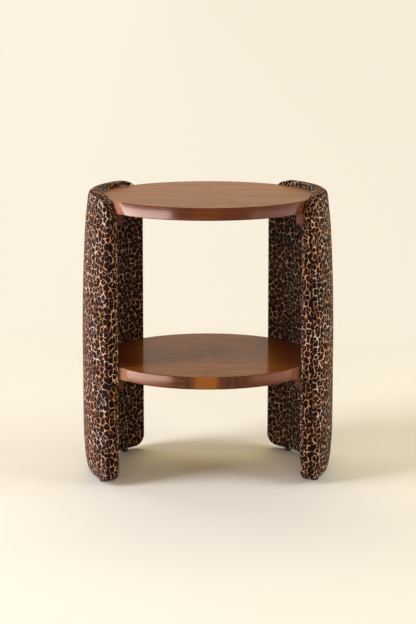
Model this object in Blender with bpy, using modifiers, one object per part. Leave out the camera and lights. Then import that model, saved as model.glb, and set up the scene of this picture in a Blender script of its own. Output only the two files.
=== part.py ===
"""Upholstered nightstand: two round wooden shelves held between two curved padded side panels.

Units are metres, +Z is up, the front faces -Y, and the left side mirrors the right one.
A side panel is drawn flat first: u runs along its arc towards the back, v points away from the
shelves' axis (0 at the shelf edge) and z is up. The flat piece is then wrapped round that axis by
folding it at arc lines that all layers of a panel share, so the clearances between them stay even.
"""
from math import cos, pi, radians, sin

import bmesh
import bpy
from mathutils import Matrix, Vector

# Round shelves: heights are those of the upper faces
SHELF_RADIUS = 0.215
SHELF_THICKNESS = 0.025
SHELF_EDGE_RADIUS = 0.002
TOP_SHELF_HEIGHT = 0.570
LOWER_SHELF_HEIGHT = 0.242

# Side panels: angles run from the side (+X or -X) towards the back
PANEL_FRONT_DEG = -34.5
PANEL_BACK_DEG = 53.0
PANEL_RISE = 0.010
PANEL_CLEARANCE = 0.0008
BODY_THICKNESS = 0.039
TOP_THICKNESS = 0.026
BELLY_HEIGHT = 0.265
BOTTOM_DRAW = 0.006
BOTTOM_DRAW_POWER = 8
END_DRAW = 0.003
END_DRAW_POWER = 4
TOP_CORNER_RADIUS = 0.055
BOTTOM_CORNER_RADIUS = 0.024
INNER_RIM_RADIUS = 0.006
OUTER_RIM_RADIUS = 0.010

# Sewn cover, and the seam round its outer rim: its stitches draw in a share of the fabric's thickness
COVER_THICKNESS = 0.0016
SEAM_WIDTH = 0.004
SEAM_SHARE = 0.7
DUST_COVER_THICKNESS = 0.0008
DUST_COVER_LAP = 0.003

# Layers of the panel, from the shelf side outwards
INNER_PAD_THICKNESS = 0.0025
INNER_SKIN_THICKNESS = 0.004
RIB_DEPTH = 0.008
OUTER_SKIN_THICKNESS = 0.0035
RIB_HEIGHT = 0.022
STILE_WIDTH = 0.020

# Cleats that carry the shelves
CLEAT_DEPTH = 0.020
CLEAT_HEIGHT = 0.024
CLEAT_END_INSET = 0.017

# Fasteners
BOLT_RADIUS = 0.003
BOLT_HEAD_RADIUS = 0.0055
BOLT_HEAD_HEIGHT = 0.004
BOLT_INSET = 0.045
BOLT_ENGAGEMENT = 0.006
INSERT_RADIUS = 0.005
SCREW_RADIUS = 0.002
SCREW_HEAD_RADIUS = 0.004
SCREW_HEAD_HEIGHT = 0.003
SCREW_INSET = 0.020
SCREW_ENGAGEMENT = 0.014
COUNTERBORE_DEPTH = 0.006

# Glides under the panels
GLIDE_RADIUS = 0.008
GLIDE_HEIGHT = 0.0062
GLIDE_EDGE_RADIUS = 0.003
GLIDE_END_INSET = 0.0485
NAIL_RADIUS = 0.0014
NAIL_ENGAGEMENT = 0.012

# Clearances between neighbours: fitted hard pieces, and padding against the cover
FIT_GAP = 0.0003
PAD_GAP = 0.0005
CUT_MARGIN = 0.002

# Fineness of the meshes
ARC_CELLS = 14
CROWN_CELLS = 6
CORNER_SEGMENTS = 3
RIM_SEGMENTS = 2
SHELF_STEPS = 72
SHELF_EDGE_SEGMENTS = 1
GLIDE_STEPS = 12
GLIDE_EDGE_SEGMENTS = 3
FASTENER_STEPS = 8
SHARP_ANGLE = radians(35)
SAME_PLACE = 1e-6
MERGE_DISTANCE = 1e-5
# A point of the rim leans at least this much towards the rim, and a seam stops where it turns this far down
RIM_LEAN = 0.5

# Heights and lengths that follow from the sizes above
PANEL_TOP = TOP_SHELF_HEIGHT + PANEL_RISE
PANEL_BOTTOM = GLIDE_HEIGHT + FIT_GAP + DUST_COVER_THICKNESS + FIT_GAP
U_FRONT = radians(PANEL_FRONT_DEG) * SHELF_RADIUS
U_BACK = radians(PANEL_BACK_DEG) * SHELF_RADIUS

# Where each layer of the panel starts and ends, along v
CAVITY_START = PANEL_CLEARANCE + COVER_THICKNESS
INNER_PAD_START = CAVITY_START + PAD_GAP
INNER_SKIN_START = INNER_PAD_START + INNER_PAD_THICKNESS + FIT_GAP
RIB_START = INNER_SKIN_START + INNER_SKIN_THICKNESS + FIT_GAP
RIB_END = RIB_START + RIB_DEPTH
OUTER_SKIN_START = RIB_END + FIT_GAP
OUTER_PAD_START = OUTER_SKIN_START + OUTER_SKIN_THICKNESS + FIT_GAP
RIB_MIDDLE = (RIB_START + RIB_END) / 2

SIDES = {"left": -1, "right": 1}
SHELF_HEIGHTS = {"top": TOP_SHELF_HEIGHT, "lower": LOWER_SHELF_HEIGHT}
# The rib behind each cleat
CLEAT_RIBS = {"top": "upper", "lower": "lower"}


def clear_scene():
    for old in list(bpy.data.objects):
        bpy.data.objects.remove(old, do_unlink=True)


def new_collection(name):
    made = bpy.data.collections.new(name)
    bpy.context.scene.collection.children.link(made)
    return made


def principled(name, colour, roughness, metallic=0.0):
    material = bpy.data.materials.new(name)
    material.use_nodes = True
    shader = material.node_tree.nodes["Principled BSDF"]
    shader.inputs["Base Color"].default_value = (*colour, 1.0)
    shader.inputs["Roughness"].default_value = roughness
    shader.inputs["Metallic"].default_value = metallic
    return material


clear_scene()
PIECES = new_collection("upholstered_nightstand")
CUTTERS = new_collection("cutters")
ROOT = bpy.data.objects.new("nightstand_origin", None)
PIECES.objects.link(ROOT)

LACQUERED_WOOD = principled("lacquered_wood", (0.23, 0.08, 0.04), 0.25)
LEOPARD_PILE = principled("leopard_pile", (0.12, 0.06, 0.04), 0.85)
PLYWOOD = principled("plywood", (0.62, 0.47, 0.30), 0.6)
FOAM = principled("foam", (0.80, 0.74, 0.58), 0.9)
DUST_CLOTH = principled("dust_cloth", (0.03, 0.03, 0.03), 0.9)
STEEL = principled("zinc_plated_steel", (0.55, 0.55, 0.53), 0.35, 1.0)
GLIDE_PLASTIC = principled("glide_plastic", (0.04, 0.025, 0.02), 0.45)


def add_piece(name, mesh, material, location=(0, 0, 0), rotation=Matrix()):
    piece = bpy.data.objects.new(name, mesh)
    piece.matrix_world = Matrix.Translation(location) @ rotation
    piece.parent = ROOT
    mesh.materials.append(material)
    PIECES.objects.link(piece)
    return piece


def add_cutter(name, mesh, location=(0, 0, 0), rotation=Matrix()):
    cutter = bpy.data.objects.new(name, mesh)
    cutter.matrix_world = Matrix.Translation(location) @ rotation
    cutter.hide_render = True
    cutter.display_type = "WIRE"
    CUTTERS.objects.link(cutter)
    return cutter


def cut(piece, cutter):
    modifier = piece.modifiers.new("cut_" + cutter.name, "BOOLEAN")
    modifier.operation = "DIFFERENCE"
    modifier.solver = "EXACT"
    modifier.object = cutter


def mesh_from(bm, name):
    mesh = bpy.data.meshes.new(name)
    bm.to_mesh(mesh)
    bm.free()
    mesh.shade_smooth()
    mesh.set_sharp_from_angle(angle=SHARP_ANGLE)
    return mesh


def profile_mesh(name, points, closed=False):
    """The outline of a turned piece as (radius, height) points, from the top down."""
    edges = [(i, i + 1) for i in range(len(points) - 1)]
    if closed:
        edges.append((len(points) - 1, 0))
    mesh = bpy.data.meshes.new(name)
    mesh.from_pydata([(radius, 0, height) for radius, height in points], edges, [])
    return mesh


def turn(piece, steps):
    screw = piece.modifiers.new("turned", "SCREW")
    screw.axis = "Z"
    screw.steps = steps
    screw.render_steps = steps
    screw.use_merge_vertices = True
    screw.merge_threshold = MERGE_DISTANCE
    screw.use_smooth_shade = False


def quarter_arc(centre_radius, centre_height, arc_radius, start_deg, steps):
    """Points of a quarter circle that turns clockwise, in a turned piece's outline."""
    angles = [radians(start_deg - 90 * i / steps) for i in range(steps + 1)]
    return [(centre_radius + arc_radius * cos(a), centre_height + arc_radius * sin(a)) for a in angles]


def outer_face(u, z):
    """How far the crowned outer face of a panel stands from the shelf edge."""
    rise = max(0.0, (z - BELLY_HEIGHT) / (PANEL_TOP - BELLY_HEIGHT))
    fall = max(0.0, (BELLY_HEIGHT - z) / (BELLY_HEIGHT - PANEL_BOTTOM))
    across = (2 * u - U_FRONT - U_BACK) / (U_BACK - U_FRONT)
    belly = TOP_THICKNESS + (BODY_THICKNESS - TOP_THICKNESS) * (1 - rise ** 2)
    return belly - BOTTOM_DRAW * fall ** BOTTOM_DRAW_POWER - END_DRAW * across ** END_DRAW_POWER


def crown(bm, v_low, skin):
    """Swell a flat slab so that its outer side lies skin deep under the panel's outer face."""
    for vert in bm.verts:
        share = (vert.co.y - v_low) / (BODY_THICKNESS - skin - v_low)
        vert.co.y = v_low + share * (outer_face(vert.co.x, vert.co.z) - skin - v_low)


def flat_box(u_range, v_range, z_range):
    bm = bmesh.new()
    bmesh.ops.create_cube(bm, size=1.0)
    ranges = (u_range, v_range, z_range)
    for vert in bm.verts:
        vert.co = [low + (share + 0.5) * (high - low) for share, (low, high) in zip(vert.co, ranges)]
    return bm


def round_edges(bm, edges, radius, segments):
    bmesh.ops.bevel(bm, geom=edges, offset=radius, offset_type="OFFSET", segments=segments,
                    profile=0.5, affect="EDGES")


def corner_edges(bm, z):
    """The short edges of a flat box across its thickness, at one height."""
    return [edge for edge in bm.edges
            if all(abs(vert.co.z - z) < SAME_PLACE for vert in edge.verts)
            and abs(edge.verts[0].co.x - edge.verts[1].co.x) < SAME_PLACE]


def rim_edges(bm, v):
    return [edge for edge in bm.edges if all(abs(vert.co.y - v) < SAME_PLACE for vert in edge.verts)]


def rounded_slab(inset, v_range, inner_rim=0.0, outer_rim=0.0):
    """A flat slab with the panel's rounded elevation, drawn in by inset all round."""
    z_low, z_high = PANEL_BOTTOM + inset, PANEL_TOP - inset
    bm = flat_box((U_FRONT + inset, U_BACK - inset), v_range, (z_low, z_high))
    round_edges(bm, corner_edges(bm, z_high), TOP_CORNER_RADIUS - inset, CORNER_SEGMENTS)
    round_edges(bm, corner_edges(bm, z_low), BOTTOM_CORNER_RADIUS - inset, CORNER_SEGMENTS)
    for v, radius in zip(v_range, (inner_rim, outer_rim)):
        if radius > 0:
            round_edges(bm, rim_edges(bm, v), radius, RIM_SEGMENTS)
    return bm


def slice_at(bm, point, normal, clear_inner=False):
    bmesh.ops.bisect_plane(bm, geom=bm.verts[:] + bm.edges[:] + bm.faces[:], dist=SAME_PLACE,
                           plane_co=point, plane_no=normal, clear_inner=clear_inner)


def slice_at_folds(bm):
    for i in range(1, ARC_CELLS):
        slice_at(bm, (U_FRONT + i * (U_BACK - U_FRONT) / ARC_CELLS, 0, 0), (1, 0, 0))


def slice_for_crown(bm):
    slice_at_folds(bm)
    for i in range(1, CROWN_CELLS):
        share = (1 - cos(pi * i / CROWN_CELLS)) / 2
        slice_at(bm, (0, 0, PANEL_BOTTOM + share * (PANEL_TOP - PANEL_BOTTOM)), (0, 0, 1))


def sink_seam(bm, v_seam):
    """A sewn groove round the front, top and back of the slab, at one distance from the shelf edge."""
    for offset in (-SEAM_WIDTH / 2, 0, SEAM_WIDTH / 2):
        slice_at(bm, (0, v_seam + offset, 0), (0, 1, 0))
    bm.normal_update()
    for vert in bm.verts:
        across_rim = Vector((vert.normal.x, 0, vert.normal.z))
        on_seam = abs(vert.co.y - v_seam) < SAME_PLACE and across_rim.length > RIM_LEAN
        if on_seam and across_rim.z > -RIM_LEAN:
            vert.co -= SEAM_SHARE * COVER_THICKNESS * across_rim.normalized()


def on_panel(u, v, z, side):
    """Where a point of the flat panel comes to lie on the left (-1) or right (1) side."""
    cell_length = (U_BACK - U_FRONT) / ARC_CELLS
    cell = min(max(int((u - U_FRONT) // cell_length), 0), ARC_CELLS - 1)
    share = (u - U_FRONT) / cell_length - cell
    radius = SHELF_RADIUS + v
    folds = []
    for line in (cell, cell + 1):
        angle = (U_FRONT + line * cell_length) / SHELF_RADIUS
        folds.append(Vector((side * radius * cos(angle), radius * sin(angle), z)))
    return folds[0].lerp(folds[1], share)


def wrapped_mesh(bm, name, side):
    slice_at_folds(bm)
    bmesh.ops.triangulate(bm, faces=bm.faces[:])
    for vert in bm.verts:
        vert.co = on_panel(*vert.co, side)
    if side > 0:
        bmesh.ops.reverse_faces(bm, faces=bm.faces[:])
    return mesh_from(bm, name)


def outward_axis(u, side):
    """Turns a fastener that points up so that it points away from the shelves' axis."""
    direction = on_panel(u, 0, 0, side)
    return direction.to_track_quat("Z", "Y").to_matrix().to_4x4()


def fastener_outline(head_radius, head_height, radius, length, gap=0.0, lead=0.0):
    """Shank from 0 up to length and the head below 0; a gap and a lead make it a cutter."""
    return [(0, length + gap), (radius + gap, length + gap), (radius + gap, gap), (head_radius + gap, gap),
            (head_radius + gap, -head_height - lead), (0, -head_height - lead)]


def make_shelf(level):
    half = SHELF_THICKNESS / 2
    edge = SHELF_EDGE_RADIUS
    outline = [(0, half)]
    outline += quarter_arc(SHELF_RADIUS - edge, half - edge, edge, 90, SHELF_EDGE_SEGMENTS)
    outline += quarter_arc(SHELF_RADIUS - edge, edge - half, edge, 0, SHELF_EDGE_SEGMENTS)
    outline.append((0, -half))
    name = level + "_shelf"
    shelf = add_piece(name, profile_mesh(name, outline), LACQUERED_WOOD, (0, 0, SHELF_HEIGHTS[level] - half))
    turn(shelf, SHELF_STEPS)
    return shelf


def cleat_heights(level):
    high = SHELF_HEIGHTS[level] - SHELF_THICKNESS - FIT_GAP
    return high - CLEAT_HEIGHT, high


def make_cleat(label, level, side):
    name = label + "_" + level + "_cleat"
    outer = PANEL_CLEARANCE - FIT_GAP
    bm = flat_box((U_FRONT + CLEAT_END_INSET, U_BACK - CLEAT_END_INSET),
                  (outer - CLEAT_DEPTH, outer), cleat_heights(level))
    return add_piece(name, wrapped_mesh(bm, name, side), LACQUERED_WOOD)


def cover_filling(skin):
    """What lies skin deep inside the cover's surface, as a flat crowned slab."""
    v_low = PANEL_CLEARANCE + skin
    bm = rounded_slab(skin, (v_low, BODY_THICKNESS - skin),
                      INNER_RIM_RADIUS - skin, OUTER_RIM_RADIUS - skin)
    slice_for_crown(bm)
    crown(bm, v_low, skin)
    return bm


def make_cover(label, side):
    """The sewn fabric shell, open in a slot under the panel where it is closed by the dust cover."""
    name = label + "_cover"
    bm = rounded_slab(0, (PANEL_CLEARANCE, BODY_THICKNESS), INNER_RIM_RADIUS, OUTER_RIM_RADIUS)
    sink_seam(bm, BODY_THICKNESS - OUTER_RIM_RADIUS - SEAM_WIDTH / 2)
    slice_for_crown(bm)
    crown(bm, PANEL_CLEARANCE, 0)
    cover = add_piece(name, wrapped_mesh(bm, name, side), LEOPARD_PILE)

    cavity_name = label + "_cover_cavity"
    cut(cover, add_cutter(cavity_name, wrapped_mesh(cover_filling(COVER_THICKNESS), cavity_name, side)))

    slot_name = label + "_cover_slot"
    (u_low, u_high), (v_low, v_high) = dust_cover_outline()
    bm = flat_box((u_low + DUST_COVER_LAP, u_high - DUST_COVER_LAP),
                  (v_low + DUST_COVER_LAP, v_high - DUST_COVER_LAP),
                  (PANEL_BOTTOM - CUT_MARGIN, PANEL_BOTTOM + COVER_THICKNESS + CUT_MARGIN))
    cut(cover, add_cutter(slot_name, wrapped_mesh(bm, slot_name, side)))
    return cover


def dust_cover_outline():
    """The flat part of the panel's underside, between its rounded rims and corners."""
    u_range = (U_FRONT + BOTTOM_CORNER_RADIUS, U_BACK - BOTTOM_CORNER_RADIUS)
    v_low = PANEL_CLEARANCE + INNER_RIM_RADIUS
    v_high = BODY_THICKNESS - OUTER_RIM_RADIUS - END_DRAW - BOTTOM_DRAW
    return u_range, (v_low, v_high)


def make_dust_cover(label, side):
    name = label + "_dust_cover"
    z_low = GLIDE_HEIGHT + FIT_GAP
    bm = flat_box(*dust_cover_outline(), (z_low, z_low + DUST_COVER_THICKNESS))
    return add_piece(name, wrapped_mesh(bm, name, side), DUST_CLOTH)


def make_inner_pad(label, side):
    name = label + "_inner_pad"
    bm = rounded_slab(INNER_RIM_RADIUS, (INNER_PAD_START, INNER_PAD_START + INNER_PAD_THICKNESS))
    return add_piece(name, wrapped_mesh(bm, name, side), FOAM)


def make_outer_pad(label, side):
    """The crowned foam that fills the cover from the outer skin outwards."""
    name = label + "_outer_pad"
    skin = COVER_THICKNESS + PAD_GAP
    bm = cover_filling(skin)
    slice_at(bm, (0, OUTER_PAD_START, 0), (0, 1, 0), clear_inner=True)
    bmesh.ops.holes_fill(bm, edges=[edge for edge in bm.edges if edge.is_boundary], sides=0)
    return add_piece(name, wrapped_mesh(bm, name, side), FOAM)


def make_skin(name, v_low, thickness, side):
    bm = rounded_slab(INNER_RIM_RADIUS, (v_low, v_low + thickness))
    return add_piece(name, wrapped_mesh(bm, name, side), PLYWOOD)


def make_ribs(label, side):
    """Top and bottom ribs run between the rounded corners, the two cleat ribs between the stiles."""
    stile_end = INNER_RIM_RADIUS + STILE_WIDTH + FIT_GAP
    bottom = PANEL_BOTTOM + COVER_THICKNESS + FIT_GAP
    top = PANEL_TOP - INNER_RIM_RADIUS
    layout = {"top": (top - RIB_HEIGHT / 2, TOP_CORNER_RADIUS),
              "bottom": (bottom + RIB_HEIGHT / 2, BOTTOM_CORNER_RADIUS)}
    for level, rib_level in CLEAT_RIBS.items():
        layout[rib_level] = (sum(cleat_heights(level)) / 2, stile_end)
    ribs = {}
    for level, (middle, inset) in layout.items():
        name = label + "_" + level + "_rib"
        bm = flat_box((U_FRONT + inset, U_BACK - inset), (RIB_START, RIB_END),
                      (middle - RIB_HEIGHT / 2, middle + RIB_HEIGHT / 2))
        ribs[level] = add_piece(name, wrapped_mesh(bm, name, side), PLYWOOD)
    return ribs


def make_stiles(label, side):
    inset = INNER_RIM_RADIUS
    z_range = (PANEL_BOTTOM + BOTTOM_CORNER_RADIUS, PANEL_TOP - TOP_CORNER_RADIUS)
    ends = {"front": (U_FRONT + inset, U_FRONT + inset + STILE_WIDTH),
            "back": (U_BACK - inset - STILE_WIDTH, U_BACK - inset)}
    for end, u_range in ends.items():
        name = label + "_" + end + "_stile"
        bm = flat_box(u_range, (RIB_START, RIB_END), z_range)
        add_piece(name, wrapped_mesh(bm, name, side), PLYWOOD)


def end_places(inset):
    return {"front": U_FRONT + inset, "back": U_BACK - inset}


def add_fastener(name, head, shank, place, rotation, targets):
    """A headed fastener in the counterbored hole that it needs in each of its targets."""
    outline = fastener_outline(*head, *shank)
    piece = add_piece(name, profile_mesh(name, outline), STEEL, place, rotation)
    turn(piece, FASTENER_STEPS)
    hole_name = name + "_hole"
    hole_outline = fastener_outline(*head, *shank, FIT_GAP, COUNTERBORE_DEPTH)
    hole = add_cutter(hole_name, profile_mesh(hole_name, hole_outline), place, rotation)
    turn(hole, FASTENER_STEPS)
    for target in targets:
        cut(target, hole)


def add_insert(name, place, rotation, rib):
    """A threaded insert pressed into a hole right through the rib behind the cleat."""
    length = RIB_DEPTH - 2 * FIT_GAP
    bore = BOLT_RADIUS + FIT_GAP
    outline = [(bore, length), (INSERT_RADIUS, length), (INSERT_RADIUS, 0), (bore, 0)]
    insert = add_piece(name, profile_mesh(name, outline, closed=True), STEEL, place, rotation)
    turn(insert, FASTENER_STEPS)
    hole_name = name + "_hole"
    hole_outline = [(0, RIB_DEPTH + CUT_MARGIN), (INSERT_RADIUS + FIT_GAP, RIB_DEPTH + CUT_MARGIN),
                    (INSERT_RADIUS + FIT_GAP, -CUT_MARGIN), (0, -CUT_MARGIN)]
    hole = add_cutter(hole_name, profile_mesh(hole_name, hole_outline), place, rotation)
    turn(hole, FASTENER_STEPS)
    cut(rib, hole)


def fasten_cleat(label, side, level, cleat, layers, rib, shelf):
    """Bolts hold the cleat to the panel, and screws hold the shelf down on the cleat."""
    z_low, z_high = cleat_heights(level)
    seat = PANEL_CLEARANCE - FIT_GAP - CLEAT_DEPTH + COUNTERBORE_DEPTH
    for end, u in end_places(CLEAT_END_INSET + BOLT_INSET).items():
        name = "_".join((label, level, end))
        rotation = outward_axis(u, side)
        middle = (z_low + z_high) / 2
        shank = (BOLT_RADIUS, RIB_START + BOLT_ENGAGEMENT - seat)
        add_fastener(name + "_bolt", (BOLT_HEAD_RADIUS, BOLT_HEAD_HEIGHT), shank,
                     on_panel(u, seat, middle, side), rotation, [cleat, *layers])
        add_insert(name + "_insert", on_panel(u, RIB_START + FIT_GAP, middle, side), rotation, rib)
    for end, u in end_places(CLEAT_END_INSET + SCREW_INSET).items():
        name = "_".join((label, level, end, "screw"))
        middle = PANEL_CLEARANCE - FIT_GAP - CLEAT_DEPTH / 2
        shank = (SCREW_RADIUS, CLEAT_HEIGHT - COUNTERBORE_DEPTH + FIT_GAP + SCREW_ENGAGEMENT)
        add_fastener(name, (SCREW_HEAD_RADIUS, SCREW_HEAD_HEIGHT), shank,
                     on_panel(u, middle, z_low + COUNTERBORE_DEPTH, side), Matrix(), [cleat, shelf])


def make_glides(label, side, targets):
    """Nail-on glides: a rounded foot with its nail, which goes up into the bottom rib."""
    nail_top = PANEL_BOTTOM + COVER_THICKNESS + FIT_GAP + NAIL_ENGAGEMENT
    outline = [(0, nail_top), (NAIL_RADIUS, nail_top), (NAIL_RADIUS, GLIDE_HEIGHT), (GLIDE_RADIUS, GLIDE_HEIGHT)]
    foot_centre = GLIDE_RADIUS - GLIDE_EDGE_RADIUS
    outline += quarter_arc(foot_centre, GLIDE_EDGE_RADIUS, GLIDE_EDGE_RADIUS, 0, GLIDE_EDGE_SEGMENTS)
    outline.append((0, 0))
    hole_radius = NAIL_RADIUS + FIT_GAP
    hole_outline = [(0, nail_top + FIT_GAP), (hole_radius, nail_top + FIT_GAP), (hole_radius, 0), (0, 0)]
    for end, u in end_places(GLIDE_END_INSET).items():
        name = "_".join((label, end, "glide"))
        place = on_panel(u, RIB_MIDDLE, 0, side)
        turn(add_piece(name, profile_mesh(name, outline), GLIDE_PLASTIC, place), GLIDE_STEPS)
        hole = add_cutter(name + "_hole", profile_mesh(name + "_hole", hole_outline), place)
        turn(hole, FASTENER_STEPS)
        for target in targets:
            cut(target, hole)


def build():
    shelves = {level: make_shelf(level) for level in SHELF_HEIGHTS}
    for label, side in SIDES.items():
        cover = make_cover(label, side)
        dust_cover = make_dust_cover(label, side)
        inner_pad = make_inner_pad(label, side)
        inner_skin = make_skin(label + "_inner_skin", INNER_SKIN_START, INNER_SKIN_THICKNESS, side)
        make_skin(label + "_outer_skin", OUTER_SKIN_START, OUTER_SKIN_THICKNESS, side)
        make_outer_pad(label, side)
        ribs = make_ribs(label, side)
        make_stiles(label, side)
        for level, shelf in shelves.items():
            cleat = make_cleat(label, level, side)
            layers = [cover, inner_pad, inner_skin]
            fasten_cleat(label, side, level, cleat, layers, ribs[CLEAT_RIBS[level]], shelf)
        make_glides(label, side, [ribs["bottom"], dust_cover])


build()
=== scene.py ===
from math import cos, hypot, pi, radians, sin

import bmesh
import bpy
from mathutils import Matrix, Vector, noise


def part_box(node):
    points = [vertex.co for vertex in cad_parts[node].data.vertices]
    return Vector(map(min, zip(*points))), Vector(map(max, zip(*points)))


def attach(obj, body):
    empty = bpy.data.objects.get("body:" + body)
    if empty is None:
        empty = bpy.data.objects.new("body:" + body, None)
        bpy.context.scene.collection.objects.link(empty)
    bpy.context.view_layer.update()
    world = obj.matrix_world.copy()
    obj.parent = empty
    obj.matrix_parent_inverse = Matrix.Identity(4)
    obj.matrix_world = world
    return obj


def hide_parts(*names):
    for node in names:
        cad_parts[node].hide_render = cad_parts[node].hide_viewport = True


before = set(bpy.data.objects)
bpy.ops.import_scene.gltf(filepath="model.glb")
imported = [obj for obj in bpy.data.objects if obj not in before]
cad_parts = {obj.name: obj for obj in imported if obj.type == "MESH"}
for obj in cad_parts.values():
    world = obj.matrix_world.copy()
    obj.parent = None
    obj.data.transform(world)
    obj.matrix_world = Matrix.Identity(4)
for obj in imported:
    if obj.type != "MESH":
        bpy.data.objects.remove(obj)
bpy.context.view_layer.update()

# Sizes that follow the CAD part, in metres. A panel is drawn flat: u along its arc, v outwards, z up
SHELF_RADIUS = 0.215
SHELF_THICKNESS = 0.025
SHELF_HEIGHTS = {"top": 0.570, "lower": 0.242}
SHELF_EDGE_RADIUS = 0.002
U_FRONT = radians(-34.5) * SHELF_RADIUS
U_BACK = radians(53.0) * SHELF_RADIUS
PANEL_TOP = 0.580
PANEL_BOTTOM = 0.0076
PANEL_CLEARANCE = 0.0008
BODY_THICKNESS = 0.039
TOP_THICKNESS = 0.026
BELLY_HEIGHT = 0.265
BOTTOM_DRAW = 0.006
BOTTOM_DRAW_POWER = 8
END_DRAW = 0.003
END_DRAW_POWER = 4
TOP_CORNER_RADIUS = 0.055
BOTTOM_CORNER_RADIUS = 0.024
INNER_RIM_RADIUS = 0.006
OUTER_RIM_RADIUS = 0.010
CLEAT_DEPTH = 0.020
CLEAT_HEIGHT = 0.024
CLEAT_END_INSET = 0.017
COUNTERBORE_DEPTH = 0.006
BOLT = {"head_radius": 0.0055, "head_height": 0.004, "radius": 0.003, "length": 0.030, "sides": 6}
BOLT_INSET = 0.045
SCREW = {"head_radius": 0.004, "head_height": 0.003, "radius": 0.002, "length": 0.0323, "sides": 4}
SCREW_INSET = 0.020
GLIDE_RADIUS = 0.008
GLIDE_HEIGHT = 0.0062
GLIDE_EDGE_RADIUS = 0.003
NAIL_RADIUS = 0.0014
FIT_GAP = 0.0003
SIDES = {"left": -1, "right": 1}
ENDS = ("front", "back")

# Finer forms of the scene: softened edges, thin cloth, and key recesses and tips as shares of a fastener
CLEAT_EDGE = 0.0012
SHEET_EDGE = 0.0002
DUST_CLOTH_THICKNESS = 0.0006
HEAD_EDGE = 0.0007
GLIDE_RIM_CUT = 0.0006
KEY_SHARE = 0.52
KEY_FLOOR_SHARE = 0.4
TIP_SHARE = 0.6

# Fineness: cells of a padded panel along its arc and its height, turns round its rims, cells along bent
# blocks, steps round turned pieces and holes
CELLS_U = 64
CELLS_Z = 104
RIM_STEPS = 4
RIM_TURNS = [pi / 2 * i / RIM_STEPS for i in range(RIM_STEPS + 1)]
CLEAT_CELLS = 48
SHEET_CELLS = 96
SHELF_STEPS = 288
SHELF_EDGE_STEPS = 5
GLIDE_STEPS = 40
GLIDE_EDGE_STEPS = 6
FASTENER_STEPS = 24
HEAD_EDGE_STEPS = 4
HOLE_STEPS = 32
SHARP_ANGLE = radians(35)
SAME_PLACE = 1e-6
# A shelf's face points up or down by more than this, its rim by less
FACE_LEAN = 0.8

# Sewn seams: their distance from the shelf edge, and how deep the stitches draw the fabric in
OUTER_SEAM_TURN = radians(22.5)
SEAMS = ((BODY_THICKNESS - OUTER_RIM_RADIUS * (1 - sin(OUTER_SEAM_TURN)), 0.0028), (0.0086, 0.0012))
SEAM_HALF_WIDTH = 0.0014
SEAM_REACH = 1.6 * SEAM_HALF_WIDTH
SEAM_LOW_END = PANEL_BOTTOM + 0.004
# Rings across the gusset between the seams, and the reach of the painted shade beside the outer seam
GUSSET_RINGS = [0.0145, 0.0180, 0.0215, 0.0250]
SEAM_SHADE_REACH = (0.0036, 0.0015)

# Gathers along the outer seam, which drift a little from their even beat
PUCKER_LENGTH = 0.0085
PUCKER_DEPTH = 0.0005
PUCKER_REACH = 0.006
PUCKER_DRIFT = 0.8
PUCKER_DRIFT_SCALE = 40

# Padding: cloth under pressure, held where it is sewn or lies against wood. It starts drawn in, and no
# point moves further than the limit
PUFF_PRESSURE = 4.0
PUFF_FRAMES = 20
PUFF_LIMIT = 0.0022
PUFF_START = 0.0020
HELD_BELOW = PANEL_BOTTOM + 0.006

# Where each piece of cloth lies on the printed fabric
CLOTH_SHIFTS = ((0.0, 0.0), (0.31, 0.17), (0.74, 0.43))
SIDE_SHIFT = 1.7

# Foam behind the cover, from the shelf edge outwards
INNER_FOAM = (0.0029, 0.0054)
OUTER_FOAM_START = 0.0202
FOAM_DEPTH = 0.0066
FOAM_EDGE = 0.0008

# Leopard print: its blotches and their hearts from one shade to another, and the painted shade along a seam
BLOTCHES = ((0.010, 0.0035, 0.006, 1), (0.013, 0.004, 0.0015, 1))
HEARTS = ((0.05, 0.020, 0.009, 1), (0.20, 0.085, 0.034, 1))
SEAM_SHADE_COLOUR = (0.010, 0.005, 0.006, 1)

# Wood: a stain runs from the dark of the grain to its light
TOP_STAIN = ((0.195, 0.060, 0.008, 1), (0.238, 0.078, 0.011, 1), (0.273, 0.097, 0.015, 1))
LOWER_STAIN = ((0.205, 0.058, 0.008, 1), (0.250, 0.080, 0.010, 1), (0.287, 0.098, 0.014, 1))
EDGE_STAIN = ((0.072, 0.013, 0.003, 1), (0.096, 0.020, 0.005, 1), (0.116, 0.029, 0.007, 1))
CLEAT_STAIN = ((0.075, 0.021, 0.010, 1), (0.105, 0.033, 0.016, 1), (0.130, 0.046, 0.022, 1))
BIRCH = ((0.42, 0.29, 0.17, 1), (0.58, 0.43, 0.27, 1), (0.66, 0.51, 0.34, 1))
# Painted shade that darkens the lower shelf beside the panels
PAINTED_SHADE_COLOUR = (0.085, 0.016, 0.008, 1)
# On the edge band: a painted warm reflection at the front, painted dark reflections beside it, and a painted
# highlight at the ends
PAINTED_REFLECTION = (0.262, 0.080, 0.010, 1)
PAINTED_DARK_REFLECTION = (0.036, 0.016, 0.009, 1)
PAINTED_HIGHLIGHT = (0.37, 0.160, 0.092, 1)

# Where the painted shade, the painted reflections and the painted highlight lie: metres from a shelf's
# middle, and radians round its edge from the front
PAINTED_SHADE_MIDDLE = -0.007
PAINTED_SHADE_SIDES = (0.095, 0.170)
PAINTED_SHADE_FRONT = (-0.15, -0.06)
PAINTED_REFLECTION_TURN = -0.043
PAINTED_REFLECTION_EDGE = (0.16, 0.06)
DARK_REFLECTIONS_START = (0.08, 0.16)
DARK_REFLECTIONS_STOP = (0.42, 0.22)
PAINTED_HIGHLIGHT_FADE = 0.07
PAINTED_HIGHLIGHT_STOP = (1.12, 1.02)
PAINTED_HIGHLIGHT_SIDES = (-0.5, 0.5)

# The photograph's view: how far and how high the lens stands, and how far it is tilted and turned
CAMERA_DISTANCE = 3.818
CAMERA_HEIGHT = 1.0526
CAMERA_PITCH = 0.1873
CAMERA_TURN = radians(1.6)
CAMERA_LENS = 110.66
CAMERA_SENSOR = 36.0

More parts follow.
